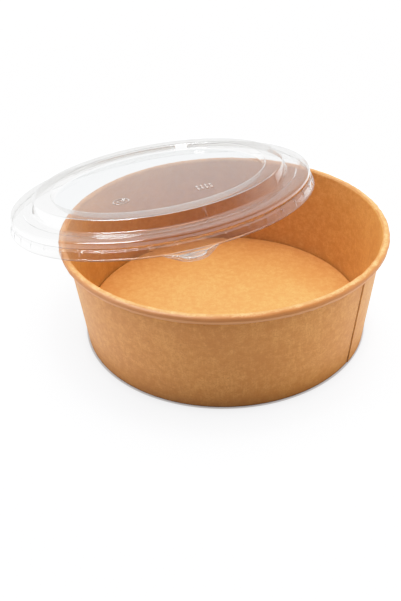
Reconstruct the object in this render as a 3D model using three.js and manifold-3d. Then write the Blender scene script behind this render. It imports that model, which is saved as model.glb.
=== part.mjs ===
// Round kraft-paper salad bowl with its clear plastic lid lying askew on the rim.
//
// The bowl is two pieces of paper: a conical side wall, whose upper edge is rolled outwards into
// the rim and whose lower edge is folded in as a hem, and a flat bottom disc, whose turned-down
// edge sits inside that hem. The lid is one thin pressed shell with a pull tab. It hangs over the
// back left of the bowl: its edge bears on the rim at two places and its panel at a third.
//
// Units are millimetres and +Z is up. Azimuths are in degrees, from +X towards +Y, so -90 is the
// front of the bowl.

import * as THREE from 'three';
import { mergeVertices } from 'three/addons/utils/BufferGeometryUtils.js';
import Module from 'manifold-3d';

// ---- Paper bowl ---------------------------------------------------------------------------
const RIM_RADIUS = 92; // outside of the rolled rim
const BOWL_HEIGHT = 64;
const BASE_RADIUS = 83; // outside of the wall, down on the table
const PAPER = 0.5; // thickness of the board
const ROLL_RADIUS = 2.15; // outside of the rim's roll
const ROLL_STRAIGHT = 0.9; // upright stretch between the roll's upper and lower half
const ROLL_END = -130; // where the roll's raw edge stops, as an angle about its lower centre
const FOLD_RADIUS = 0.6; // outside of the two bends under the stand ring
const HEM_HEIGHT = 5.6; // raw edge of the folded-in hem
const FIT_GAP = 0.3; // air between the bottom disc's edge and the paper on either side of it
const FLOOR_HEIGHT = 7.7; // upper face of the bottom disc
const FLOOR_CORNER = 1.6; // outside of the bend between disc and turned-down edge

// ---- Side seam, where the wall's two ends overlap ------------------------------------------
const SEAM_AZIMUTH = -38.5; // raw edge of the outer layer
const SEAM_OVERLAP = 6.7; // degrees that both layers cover
const SEAM_EASE = 30; // degrees over which the outer layer comes back to the round
const SEAM_EDGE = 0.02; // degrees that a raw edge's face takes up
const SEAM_TOP = 58; // height up to which the overlap stands at its full step

// ---- Lid, in its own frame: its edge lies in the plane z = 0 --------------------------------
const SHELL = 0.35; // thickness of the plastic
const LID_RADIUS = 94; // outside of the lip
const LIP_WIDTH = 0.9; // flat lip round the edge
const PANEL_HEIGHT = 11.6; // upper face of the middle panel
const RING_HEIGHT = 15.8; // upper face of the raised stacking ring
const RING_INNER = 65.7;
const RING_OUTER = 76.5;
const CHANNEL_HEIGHT = 9.1; // low ring between stacking ring and shoulder
const CHANNEL_INNER = 78.2;
const CHANNEL_OUTER = 83.3;
const SHOULDER_HEIGHT = 9.8; // the shoulder goes over the bowl's rim
const SHOULDER_RADIUS = 91.9;
const SHOULDER_ROUND = 1.6;
const GROOVE_BOTTOM = 5.9; // lower end of the band that grips the rim
const WAIST_RADIUS = 90.9; // undercut that snaps below the rim
const WAIST_HEIGHT = 5;
const SKIRT_TOP_RADIUS = 92.1; // below the waist the skirt opens out towards the lip
const SKIRT_TOP_HEIGHT = 4.2;

const LUG_COUNT = 45;
const LUG_SIZE = new THREE.Vector3(1.3, 1.6, 2.4); // radial, round the lid, upright
const LUG_HEIGHT = 4.4; // middle of a lug
const RIB_COUNT = 4; // upright ribs on the stacking ring that keep stacked lids apart
const RIB_SIZE = new THREE.Vector3(2.2, 1.2, 4.6);
const RIB_HEIGHT = 12.6;
const RIB_AZIMUTH = -69;

// ---- Pull tab, drawn with its root towards the lid and its nose along +Y ---------------------
const TAB_AZIMUTH = -78.2;
const TAB_ROOT_RADIUS = 93; // where the tab leaves the lip
const TAB_NOSE_CENTRE = 97.8;
const TAB_NOSE_RADIUS = 9.2;
const TAB_NOSE_ANGLE = 35; // where the round nose turns into the straight flanks
const EMBOSS_RADIUS = 7;
const EMBOSS_HEIGHT = 1.2; // upper face of the half-round raised grip

// ---- How the lid lies on the bowl -----------------------------------------------------------
const LID_AZIMUTH = 128.5; // direction in which the lid has slid and leans down
const LID_SHIFT = 57.3; // from the bowl's axis to the middle of the lid's edge
const CONTACT_GAP = 0.3; // air left where the lid bears on the rim

// ---- Facets ---------------------------------------------------------------------------------
const WALL_SIDES = 60;
const ROUND_SIDES = 54;

const KRAFT_OUTSIDE = new THREE.MeshStandardMaterial({ color: 0xcf9f6b, roughness: 0.85, metalness: 0 });
const KRAFT_INSIDE = new THREE.MeshStandardMaterial({ color: 0xdf9c55, roughness: 0.6, metalness: 0 });
const CLEAR_PLASTIC = new THREE.MeshStandardMaterial({
  color: 0xeef0f0, roughness: 0.08, metalness: 0, transparent: true, opacity: 0.35,
});

const rad = THREE.MathUtils.degToRad;
const at = (x, y) => new THREE.Vector2(x, y);

/** Points along an arc about (x, y), from one angle to another in degrees, both ends included. */
function arc(x, y, radius, from, to, steps) {
  return Array.from({ length: steps + 1 }, (_, i) => {
    const angle = rad(from + ((to - from) * i) / steps);
    return at(x + radius * Math.cos(angle), y + radius * Math.sin(angle));
  });
}

/** Point at a radius, azimuth in degrees and height. */
function polar(radius, azimuth, height) {
  return new THREE.Vector3(radius * Math.cos(rad(azimuth)), radius * Math.sin(rad(azimuth)), height);
}

// ---- Paper bowl -------------------------------------------------------------------------------
const rollTop = BOWL_HEIGHT - ROLL_RADIUS; // height of the upper half's centre
const rollBottom = rollTop - ROLL_STRAIGHT;
const rollCentre = RIM_RADIUS - ROLL_RADIUS;
const wallSlope = (rollCentre - ROLL_RADIUS + PAPER - BASE_RADIUS) / rollTop;
const hemWidth = 3 * PAPER + 2 * FIT_GAP; // wall, disc's edge and hem side by side

/** Outside radius of the wall at a height. */
const wallRadius = (height) => BASE_RADIUS + wallSlope * height;

/**
 * One face of the side wall's board, from the hem's raw edge down, round the fold, up the wall
 * and over the roll. The depth is 0 for the face that shows outside and PAPER for the other.
 */
function boardFace(depth) {
  const fold = FOLD_RADIUS - depth;
  const roll = ROLL_RADIUS - PAPER + depth;
  const foldRadius = wallRadius(FOLD_RADIUS);
  return [
    at(wallRadius(HEM_HEIGHT) - hemWidth + depth, HEM_HEIGHT),
    ...arc(foldRadius - hemWidth + FOLD_RADIUS, FOLD_RADIUS, fold, 180, 270, 2),
    ...arc(foldRadius - FOLD_RADIUS, FOLD_RADIUS, fold, 270, 360, 2),
    at(wallRadius(SEAM_TOP) - depth, SEAM_TOP),
    ...arc(rollCentre, rollTop, roll, 180, 0, 6),
    ...arc(rollCentre, rollBottom, roll, 0, ROLL_END, 4),
  ];
}

/** How far the seam pushes the wall out at an azimuth, on the outside face or on the other. */
function seamStep(azimuth, outside) {
  const beyond = THREE.MathUtils.euclideanModulo(azimuth - SEAM_AZIMUTH, 360);
  if (beyond < SEAM_OVERLAP) return outside ? PAPER : 0;
  return PAPER * (1 - THREE.MathUtils.smoothstep(beyond, SEAM_OVERLAP, SEAM_OVERLAP + SEAM_EASE));
}

/** Share of that step at a point of the board: all of it up the wall, none in roll, fold or hem. */
function seamShare(point) {
  if (point.x < wallRadius(FOLD_RADIUS) - FOLD_RADIUS) return 0;
  const rise = point.y / FOLD_RADIUS;
  const fall = (rollTop - point.y) / (rollTop - SEAM_TOP);
  return point.x > wallRadius(point.y) + PAPER ? 0 : THREE.MathUtils.clamp(Math.min(rise, fall), 0, 1);
}

/** Closed outline of the board at an azimuth: out along one face and back along the other. */
function boardOutline(azimuth) {
  const moved = (point, outside) => {
    const push = seamStep(azimuth, outside) * seamShare(point);
    return polar(point.x + push, azimuth, point.y);
  };
  return [
    ...boardFace(0).map((point) => moved(point, true)),
    ...boardFace(PAPER).reverse().map((point) => moved(point, false)),
  ];
}

/** Closed ring through outlines that follow each other round the axis, with its faces out. */
function ringThrough(outlines) {
  const size = outlines[0].length;
  const index = [];
  outlines.forEach((_, i) => {
    const here = i * size;
    const next = ((i + 1) % outlines.length) * size;
    for (let j = 0; j < size; j++) {
      const k = (j + 1) % size;
      index.push(here + j, next + j, next + k, here + j, next + k, here + k);
    }
  });
  const geometry = new THREE.BufferGeometry().setFromPoints(outlines.flat());
  geometry.setIndex(index);
  geometry.computeVertexNormals();
  return geometry;
}

/** Side wall with hem, overlapped seam and rolled rim. */
function sideWall() {
  const even = Array.from({ length: WALL_SIDES }, (_, i) => SEAM_AZIMUTH + ((i + 0.5) * 360) / WALL_SIDES);
  const edges = [SEAM_AZIMUTH, SEAM_AZIMUTH + SEAM_OVERLAP];
  const steps = edges.flatMap((edge) => [edge - SEAM_EDGE / 2, edge + SEAM_EDGE / 2]);
  const stations = [...even, ...steps].sort((a, b) => a - b);
  return ringThrough(stations.map(boardOutline));
}

/** Ring or disc turned about +Z from an outline of radius and height, drawn anticlockwise. */
function turned(outline) {
  return new THREE.LatheGeometry(outline, ROUND_SIDES).rotateX(Math.PI / 2);
}

/** Bottom disc with its edge turned down between wall and hem. */
function bottomDisc() {
  const edge = (height) => wallRadius(height) - PAPER - FIT_GAP;
  const foot = PAPER + FIT_GAP;
  const bend = FLOOR_HEIGHT - FLOOR_CORNER;
  const bendCentre = edge(bend) - FLOOR_CORNER;
  return turned([
    at(0, FLOOR_HEIGHT - PAPER),
    ...arc(bendCentre, bend, FLOOR_CORNER - PAPER, 90, 0, 2),
    at(edge(foot) - PAPER, foot),
    at(edge(foot), foot),
    ...arc(bendCentre, bend, FLOOR_CORNER, 0, 90, 3),
    at(0, FLOOR_HEIGHT),
  ]);
}

// ---- Lid ----------------------------------------------------------------------------------------

/** Upper and outer face of the lid from its middle to its lip. */
function lidFace() {
  const shoulderCentre = SHOULDER_HEIGHT - SHOULDER_ROUND;
  return [
    at(0, PANEL_HEIGHT),
    ...arc(RING_INNER - 1.9, PANEL_HEIGHT + 1, 1, 270, 345, 2),
    ...arc(RING_INNER + 0.8, RING_HEIGHT - 0.8, 0.8, 165, 90, 2),
    ...arc(RING_OUTER - 0.8, RING_HEIGHT - 0.8, 0.8, 90, 18, 2),
    ...arc(CHANNEL_INNER + 1, CHANNEL_HEIGHT + 1, 1, 198, 270, 2),
    at(CHANNEL_OUTER, CHANNEL_HEIGHT),
    at(CHANNEL_OUTER + 0.9, SHOULDER_HEIGHT - 0.1),
    ...arc(SHOULDER_RADIUS - SHOULDER_ROUND, shoulderCentre, SHOULDER_ROUND, 90, 0, 3),
    at(SHOULDER_RADIUS - 0.1, GROOVE_BOTTOM),
    at(WAIST_RADIUS, WAIST_HEIGHT + 0.2),
    at(WAIST_RADIUS, WAIST_HEIGHT - 0.1),
    at(SKIRT_TOP_RADIUS, SKIRT_TOP_HEIGHT),
    at(LID_RADIUS - LIP_WIDTH, SHELL + 0.4),
    at(LID_RADIUS - LIP_WIDTH + 0.3, SHELL),
    at(LID_RADIUS, SHELL),
  ];
}

/** The face moved by the shell's thickness towards its right-hand side. */
function otherFace(face) {
  const normals = face.slice(1).map((point, i) => {
    const along = point.clone().sub(face[i]).normalize();
    return at(along.y, -along.x);
  });
  return face.map((point, i) => {
    const before = normals[Math.max(i - 1, 0)];
    const after = normals[Math.min(i, normals.length - 1)];
    const middle = before.clone().add(after).normalize();
    return point.clone().addScaledVector(middle, SHELL / middle.dot(after));
  });
}

/** Plate with the shape's outline between two heights. */
function plate(shape, bottom, top) {
  const options = { depth: top - bottom, bevelEnabled: false, curveSegments: 8 };
  return new THREE.ExtrudeGeometry(shape, options).translate(0, 0, bottom);
}

/** Outline of the tab: straight flanks that meet a round nose. */
function tabShape() {
  const nose = arc(0, TAB_NOSE_CENTRE, TAB_NOSE_RADIUS, TAB_NOSE_ANGLE, 180 - TAB_NOSE_ANGLE, 8);
  const run = (nose[0].y - TAB_ROOT_RADIUS) * Math.tan(rad(TAB_NOSE_ANGLE));
  const root = nose[0].x + run;
  const rootHeight = Math.sqrt(TAB_ROOT_RADIUS ** 2 - root ** 2);
  return new THREE.Shape([at(root, rootHeight), ...nose, at(-root, rootHeight)]);
}

/** Half-round outline of the raised grip, drawn smaller by an inset. */
function embossShape(inset) {
  return new THREE.Shape(arc(0, TAB_NOSE_CENTRE + inset, EMBOSS_RADIUS - 2 * inset, 0, 180, 8));
}

/** Small block centred at a radius, azimuth and height, its X side facing away from the axis. */
function blockAt(size, radius, azimuth, height) {
  const block = new THREE.BoxGeometry(size.x, size.y, size.z);
  return block.translate(radius, 0, height).rotateZ(rad(azimuth));
}

const wasm = await Module();
wasm.setup();

/** Solid for joining and cutting, from a closed geometry. */
function toSolid(geometry) {
  const bare = geometry.clone();
  bare.deleteAttribute('normal');
  bare.deleteAttribute('uv');
  const merged = mergeVertices(bare, 1e-4);
  const corners = merged.index.array;
  const kept = [];
  for (let i = 0; i < corners.length; i += 3) {
    const [a, b, c] = corners.slice(i, i + 3);
    if (a !== b && b !== c && c !== a) kept.push(a, b, c);
  }
  const vertProperties = new Float32Array(merged.attributes.position.array);
  return new wasm.Manifold(new wasm.Mesh({ numProp: 3, vertProperties, triVerts: new Uint32Array(kept) }));
}

/** Geometry with the surface of a solid. */
function toGeometry(solid) {
  const { vertProperties, triVerts } = solid.getMesh();
  const geometry = new THREE.BufferGeometry();
  geometry.setAttribute('position', new THREE.BufferAttribute(vertProperties, 3));
  geometry.setIndex(new THREE.BufferAttribute(triVerts, 1));
  geometry.computeVertexNormals();
  return geometry;
}

/** Pull tab with its hollow raised grip. */
function pullTab() {
  const raised = toSolid(plate(embossShape(0), 0, EMBOSS_HEIGHT));
  const hollow = toSolid(plate(embossShape(SHELL), -1, EMBOSS_HEIGHT - SHELL));
  const flat = toSolid(plate(tabShape(), 0, SHELL));
  return flat.add(raised).subtract(hollow).rotate([0, 0, TAB_AZIMUTH - 90]);
}

/** Lid as one solid: shell, snap lugs, ribs on the stacking ring and pull tab. */
function lid() {
  const face = lidFace();
  const shell = toSolid(turned([...otherFace(face), ...face.reverse()]));
  const lugRadius = WAIST_RADIUS - SHELL / 2 + LUG_SIZE.x / 2;
  const lugs = Array.from({ length: LUG_COUNT }, (_, i) =>
    toSolid(blockAt(LUG_SIZE, lugRadius, TAB_AZIMUTH + ((i + 0.5) * 360) / LUG_COUNT, LUG_HEIGHT)));
  const ribRadius = (RING_OUTER + CHANNEL_INNER) / 2;
  const ribs = Array.from({ length: RIB_COUNT }, (_, i) =>
    toSolid(blockAt(RIB_SIZE, ribRadius, RIB_AZIMUTH + (i * 360) / RIB_COUNT, RIB_HEIGHT)));
  return toGeometry([...lugs, ...ribs, pullTab()].reduce((sum, piece) => sum.add(piece), shell));
}

/**
 * Lean of the lid, in radians, and height of its edge's middle. The middle of the rim's roll is a
 * circle. Where that circle runs deepest under the lid it stays one roll radius below the panel.
 * Where it crosses the lip it stays as far below the lip.
 */
function restingPose() {
  const reach = ROLL_RADIUS + CONTACT_GAP;
  const lip = LID_RADIUS - LIP_WIDTH;
  const panelSide = PANEL_HEIGHT - SHELL - reach;
  const heightFor = (lean) =>
    rollTop - (panelSide - (rollCentre - LID_SHIFT) * Math.sin(lean)) / Math.cos(lean);
  const crossingRadius = (lean) => {
    const drop = rollTop - heightFor(lean);
    const along = -(reach + drop * Math.cos(lean)) / Math.sin(lean); // level run from the lid's middle
    const slant = along * Math.cos(lean) - drop * Math.sin(lean);
    const across = Math.sqrt(rollCentre ** 2 - (along + LID_SHIFT) ** 2);
    return Math.hypot(slant, across);
  };
  let [low, high] = [rad(8), rad(12)];
  for (let i = 0; i < 40; i++) {
    const middle = (low + high) / 2;
    if (crossingRadius(middle) > lip) low = middle;
    else high = middle;
  }
  return { lean: low, height: heightFor(low) };
}

// ---- Assembly -------------------------------------------------------------------------------------

/** Named mesh of one piece. */
function piece(name, geometry, material) {
  const mesh = new THREE.Mesh(geometry, material);
  mesh.name = name;
  return mesh;
}

/** Group that carries the lid in the place where it rests. */
function restingLid() {
  const { lean, height } = restingPose();
  const group = new THREE.Group();
  const hinge = polar(1, LID_AZIMUTH + 90, 0); // level line across the lean
  group.quaternion.setFromAxisAngle(hinge, lean);
  group.position.copy(polar(LID_SHIFT, LID_AZIMUTH, height));
  group.add(piece('lid', lid(), CLEAR_PLASTIC));
  return group;
}

const bowl = new THREE.Group();
bowl.add(piece('bowl_wall', sideWall(), KRAFT_OUTSIDE));
bowl.add(piece('bowl_bottom', bottomDisc(), KRAFT_INSIDE));
bowl.add(restingLid());

// The origin is the middle of the whole object's outline, down on the table.
const bounds = new THREE.Box3().setFromObject(bowl, true);
const middle = bounds.getCenter(new THREE.Vector3());
bowl.position.set(-middle.x, -middle.y, -bounds.min.z);

const part = new THREE.Group();
part.add(bowl);

export default part;
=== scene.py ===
"""Kraft-paper salad bowl with its clear plastic lid lying askew on the rim.

The bowl's wall is one sheet of board: hem below, glued seam at the front right, rolled rim above.
Its bottom is a disc of the same board. The lid is one pressed sheet of clear plastic. Lengths are
in metres and +Z is up, in the same frame as the solids that are loaded first.
"""

import logging
import math
from collections import defaultdict
from dataclasses import dataclass, replace
from enum import Enum
from typing import Callable, Iterable, Sequence, Union

import bmesh
import bpy
from bpy.types import ColorManagedViewSettings, Material, NodeSocket, Object, World
from mathutils import Euler, Matrix, Vector


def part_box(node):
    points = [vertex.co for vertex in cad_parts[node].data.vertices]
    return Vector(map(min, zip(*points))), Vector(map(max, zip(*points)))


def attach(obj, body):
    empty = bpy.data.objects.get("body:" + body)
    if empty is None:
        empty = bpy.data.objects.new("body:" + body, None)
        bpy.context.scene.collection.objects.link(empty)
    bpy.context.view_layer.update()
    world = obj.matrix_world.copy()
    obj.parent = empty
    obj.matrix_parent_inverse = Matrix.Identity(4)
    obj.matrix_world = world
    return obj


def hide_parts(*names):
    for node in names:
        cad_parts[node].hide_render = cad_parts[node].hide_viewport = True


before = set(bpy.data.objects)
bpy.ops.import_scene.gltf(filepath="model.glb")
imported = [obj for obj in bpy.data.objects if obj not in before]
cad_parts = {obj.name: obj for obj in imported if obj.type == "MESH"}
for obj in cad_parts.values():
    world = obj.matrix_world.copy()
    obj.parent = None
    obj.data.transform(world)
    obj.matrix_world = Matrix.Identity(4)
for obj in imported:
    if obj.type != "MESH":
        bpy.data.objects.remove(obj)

LOG = logging.getLogger("salad_bowl")
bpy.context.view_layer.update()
MM = 0.001
TINY = 1e-6
SINK = 0.01 * MM  # how far fused pieces reach into each other
WHITE = (1.0, 1.0, 1.0)

Point = tuple[float, float]
Tone = tuple[float, float, float]


# ---------------------------------------------------------------- outlines


def arc(centre: Point, radius: float, start: float, end: float, steps: int) -> list[Point]:
    """Points along an arc in steps, from one angle in degrees to another, both ends included."""
    turn = [math.radians(start + (end - start) * i / steps) for i in range(steps + 1)]
    return [(centre[0] + radius * math.cos(a), centre[1] + radius * math.sin(a)) for a in turn]


def rounded(corners: Sequence[tuple[float, float, float]], steps: int) -> list[Point]:
    """Outline through corners, each rounded to a radius of its own.

    Args:
        corners: Radius from the axis, height and rounding of each corner.
        steps: Number of stretches that a rounding takes.

    Returns:
        The outline's points, in order.
    """
    outline: list[Point] = []
    for i, (x, y, rounding) in enumerate(corners):
        if rounding == 0:
            outline.append((x, y))
            continue
        here = Vector((x, y))
        back = (Vector(corners[i - 1][:2]) - here).normalized()
        onward = (Vector(corners[i + 1][:2]) - here).normalized()
        half = back.angle(onward) / 2
        middle = here + (back + onward).normalized() * rounding / math.sin(half)
        spoke = here + back * rounding / math.tan(half) - middle
        sweep = math.copysign(math.pi - 2 * half, back.cross(onward))
        for step in range(steps + 1):
            point = middle + Matrix.Rotation(-sweep * step / steps, 2) @ spoke
            outline.append((point.x, point.y))
    return outline


def radius_of(point: Vector) -> float:
    """Distance of a point from the Z axis."""
    return math.hypot(point.x, point.y)


def azimuth_of(point: Vector) -> float:
    """Azimuth of a point about the Z axis, in degrees."""
    return math.degrees(math.atan2(point.y, point.x))


def is_any(middle: Vector, normal: Vector) -> bool:
    """Test of a face's middle and normal that every face passes."""
    return True


# ---------------------------------------------------------------- workbench


class Bench:
    """A mesh that is being shaped by operators, about an axis through the world's origin."""

    def __init__(self, name: str) -> None:
        """Starts an empty piece of that name."""
        self.name = name
        self.clear_hands()

    @staticmethod
    def clear_hands() -> None:
        """Leaves edit mode and deselects every object."""
        if bpy.context.object and bpy.context.object.mode != "OBJECT":
            bpy.ops.object.mode_set(mode="OBJECT")
        bpy.ops.object.select_all(action="DESELECT")

    @property
    def piece(self) -> Object:
        """The object on the bench."""
        return bpy.context.object

    def take_off(self) -> Object:
        """Clears the bench and returns its piece."""
        self.clear_hands()
        return bpy.data.objects[self.name]

    def christen(self) -> None:
        """Gives the new object its name and enters edit mode."""
        self.piece.name = self.name
        self.piece.data.name = self.name
        bpy.ops.object.mode_set(mode="EDIT")
        bpy.ops.mesh.select_mode(type="VERT")
        bpy.ops.mesh.select_all(action="SELECT")

    def turn(self, outline: Sequence[Point], sides: int) -> None:
        """Draws an outline in the XZ plane, point by point, and turns it about the Z axis.

        Args:
            outline: Radius from the axis and height of each point.
            sides: Number of flat sides round the axis.
        """
        bpy.ops.mesh.primitive_plane_add(size=MM)
        self.christen()
        bpy.ops.mesh.merge(type="CENTER")
        bpy.ops.transform.translate(value=(outline[0][0], 0, outline[0][1]))
        for here, there in zip(outline, outline[1:]):
            step = (there[0] - here[0], 0, there[1] - here[1])
            bpy.ops.mesh.extrude_vertices_move(TRANSFORM_OT_translate={"value": step})
        bpy.ops.mesh.select_all(action="SELECT")
        bpy.ops.mesh.spin(steps=sides, angle=math.tau, center=(0, 0, 0), axis=(0, 0, 1))
        bpy.ops.mesh.select_all(action="SELECT")
        bpy.ops.mesh.remove_doubles(threshold=TINY)
        self.face_out()

    def disc(self, radius: float, centre: Sequence[float], sides: int, chord: float | None = None) -> None:
        """Adds a flat disc.

        Args:
            radius: Its radius.
            centre: Its middle.
            sides: Number of corners.
            chord: What lies below this Y is cut away, if it is given.
        """
        bpy.ops.mesh.primitive_circle_add(vertices=sides, radius=radius, fill_type="NGON")
        self.christen()
        bpy.ops.transform.translate(value=centre)
        if chord is not None:
            bpy.ops.mesh.bisect(plane_co=(0, chord, 0), plane_no=(0, 1, 0), clear_inner=True)

    def block(self, size: Sequence[float], centre: Sequence[float], turn: float, round_off: float) -> None:
        """Adds a block with rounded edges.

        Args:
            size: Its length, breadth and height.
            centre: Its middle.
            turn: How far it is turned about Z, in degrees.
            round_off: Breadth of the rounding.
        """
        turned = (0, 0, math.radians(turn))
        bpy.ops.mesh.primitive_cube_add(size=1, location=centre, rotation=turned, scale=size)
        bpy.ops.object.transform_apply(location=True, rotation=True, scale=True)
        self.christen()
        bpy.ops.mesh.bevel(offset=round_off, segments=3, affect="EDGES")

    def pick(self, wanted: Callable[[Vector], bool]) -> int:
        """Selects the vertices whose place passes a test, and what lies between them, and counts them."""
        return self._select("VERT", lambda vertex: wanted(vertex.co))

    def pick_faces(self, wanted: Callable[[Vector, Vector], bool]) -> int:
        """Selects the faces whose middle and normal pass a test, and counts them."""
        return self._select("FACE", lambda face: wanted(face.calc_center_median(), face.normal))

    def _select(self, kind: str, wanted: Callable[..., bool]) -> int:
        """Selects the vertices or faces that pass a test.

        Args:
            kind: "VERT" or "FACE".
            wanted: Test of a vertex or face.

        Returns:
            Number of them.
        """
        bpy.ops.mesh.select_mode(type=kind)
        bpy.ops.mesh.select_all(action="DESELECT")
        shape = bmesh.from_edit_mesh(self.piece.data)
        chosen = [part for part in (shape.verts if kind == "VERT" else shape.faces) if wanted(part)]
        for part in chosen:
            part.select_set(True)
        if kind == "VERT":
            shape.select_flush(True)
        bmesh.update_edit_mesh(self.piece.data)
        return len(chosen)

    def cut(self, azimuth: float, reach: float) -> None:
        """Cuts the faces near an azimuth along the plane that stands there.

        Args:
            azimuth: Where the cut runs, in degrees.
            reach: How far from it a face may lie, in degrees.
        """
        self.pick_faces(lambda middle, _: abs((azimuth_of(middle) - azimuth + 180) % 360 - 180) < reach)
        across = math.radians(azimuth + 90)
        bpy.ops.mesh.bisect(plane_co=(0, 0, 0), plane_no=(math.cos(across), math.sin(across), 0))

    @staticmethod
    def spread(scale: float) -> None:
        """Moves what is selected away from the Z axis by a factor."""
        bpy.ops.transform.resize(value=(scale, scale, 1), center_override=(0, 0, 0))

    @staticmethod
    def face_out() -> None:
        """Selects everything and turns its faces outwards."""
        bpy.ops.mesh.select_all(action="SELECT")
        bpy.ops.mesh.normals_make_consistent(inside=False)

    def face_up(self) -> None:
        """Turns the faces of a selected open sheet up."""
        shape = bmesh.from_edit_mesh(self.piece.data)
        if sum(face.normal.z * face.calc_area() for face in shape.faces) < 0:
            bpy.ops.mesh.flip_normals()

    def dress(
        self,
        material: Material,
        wanted: Callable[[Vector, Vector], bool] = is_any,
    ) -> None:
        """Gives faces a material in a slot of its own.

        Args:
            material: Their finish.
            wanted: Test of a face's middle and normal.
        """
        self.pick_faces(wanted)
        self.piece.data.materials.append(material)
        self.piece.active_material_index = len(self.piece.data.materials) - 1
        bpy.ops.object.material_slot_assign()

    def modify(self, kind: str, **settings: object) -> None:
        """Adds a modifier and applies it.

        Args:
            kind: Blender's name of the modifier's type.
            **settings: The modifier's own settings.
        """
        if self.piece.mode != "OBJECT":
            bpy.ops.object.mode_set(mode="OBJECT")
        modifier = self.piece.modifiers.new(kind.title(), kind)
        for name, value in settings.items():
            setattr(modifier, name, value)
        bpy.ops.object.modifier_apply(modifier=modifier.name)

    def combine(self, extra: Object, operation: str) -> None:
        """Fuses a closed piece to this one or cuts it out, and removes it.

        Args:
            extra: The other piece.
            operation: "UNION" or "DIFFERENCE".
        """
        bpy.context.view_layer.objects.active = self.take_off()
        self.modify("BOOLEAN", operation=operation, solver="MANIFOLD", object=extra)
        bpy.data.objects.remove(extra)

    def place(self, pose: Matrix, sharp: float) -> Object:
        """Moves the piece to its place, with its origin left at the world's, and smooths it.

        Args:
            pose: Where the bench's axis and origin go.
            sharp: Angle, in degrees, past which an edge stays sharp.

        Returns:
            The finished piece.
        """
        piece = self.take_off()
        bpy.context.view_layer.objects.active = piece
        piece.select_set(True)
        piece.matrix_world = pose
        bpy.ops.object.transform_apply(location=True, rotation=True, scale=True)
        bpy.ops.object.shade_smooth_by_angle(angle=math.radians(sharp))
        piece.select_set(False)
        return piece


# ---------------------------------------------------------------- materials


# Breadth of the board's blotches, mottles, grain, fibres, ribs and flecks, and of the ragged edge of the
# painted shade on the roll.
BLOTCH, MOTTLE, GRAIN = 19 * MM, 3.4 * MM, 0.9 * MM
FIBRE, RIB, FLECK, SHADE_RAG = 0.6 * MM, 0.8 * MM, 1.3 * MM, 4.2 * MM
MEAN_RADIUS = 85 * MM  # where the wall's sheet is laid flat
CONTACT_SHADOW = (0.02, 0.012, 0.01)  # colour of the painted contact shadow where the wall meets the table

Input = Union[float, Sequence[float], "Signal"]


class Signal:
    """A socket's value in a material. Arithmetic on it adds Math nodes."""

    def __init__(self, recipe: "Recipe", socket: NodeSocket) -> None:
        """Wraps an output socket of a recipe's node."""
        self.recipe = recipe
        self.socket = socket

    def worked(self, operation: str, other: Input) -> "Signal":
        """Adds one Math node and returns its result."""
        return self.recipe.node("Math", {"operation": operation}, {0: self, 1: other})

    def __add__(self, other: Input) -> "Signal":
        """Sum."""
        return self.worked("ADD", other)

    def __sub__(self, other: Input) -> "Signal":
        """Difference."""
        return self.worked("SUBTRACT", other)

    def __mul__(self, other: Input) -> "Signal":
        """Product."""
        return self.worked("MULTIPLY", other)

    def between(self, low: float, high: float) -> "Signal":
        """Smooth rise from 0 at low to 1 at high. It falls where low is the larger.

        Args:
            low: Value that gives 0.
            high: Value that gives 1.

        Returns:
            The rise.
        """
        ends = (low, high, 0.0, 1.0) if low < high else (high, low, 1.0, 0.0)
        values = dict(zip(("Value", "From Min", "From Max", "To Min", "To Max"), (self, *ends)))
        return self.recipe.node("MapRange", {"interpolation_type": "SMOOTHSTEP"}, values)


Layer = tuple[Tone, Signal, Point, float]


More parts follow.
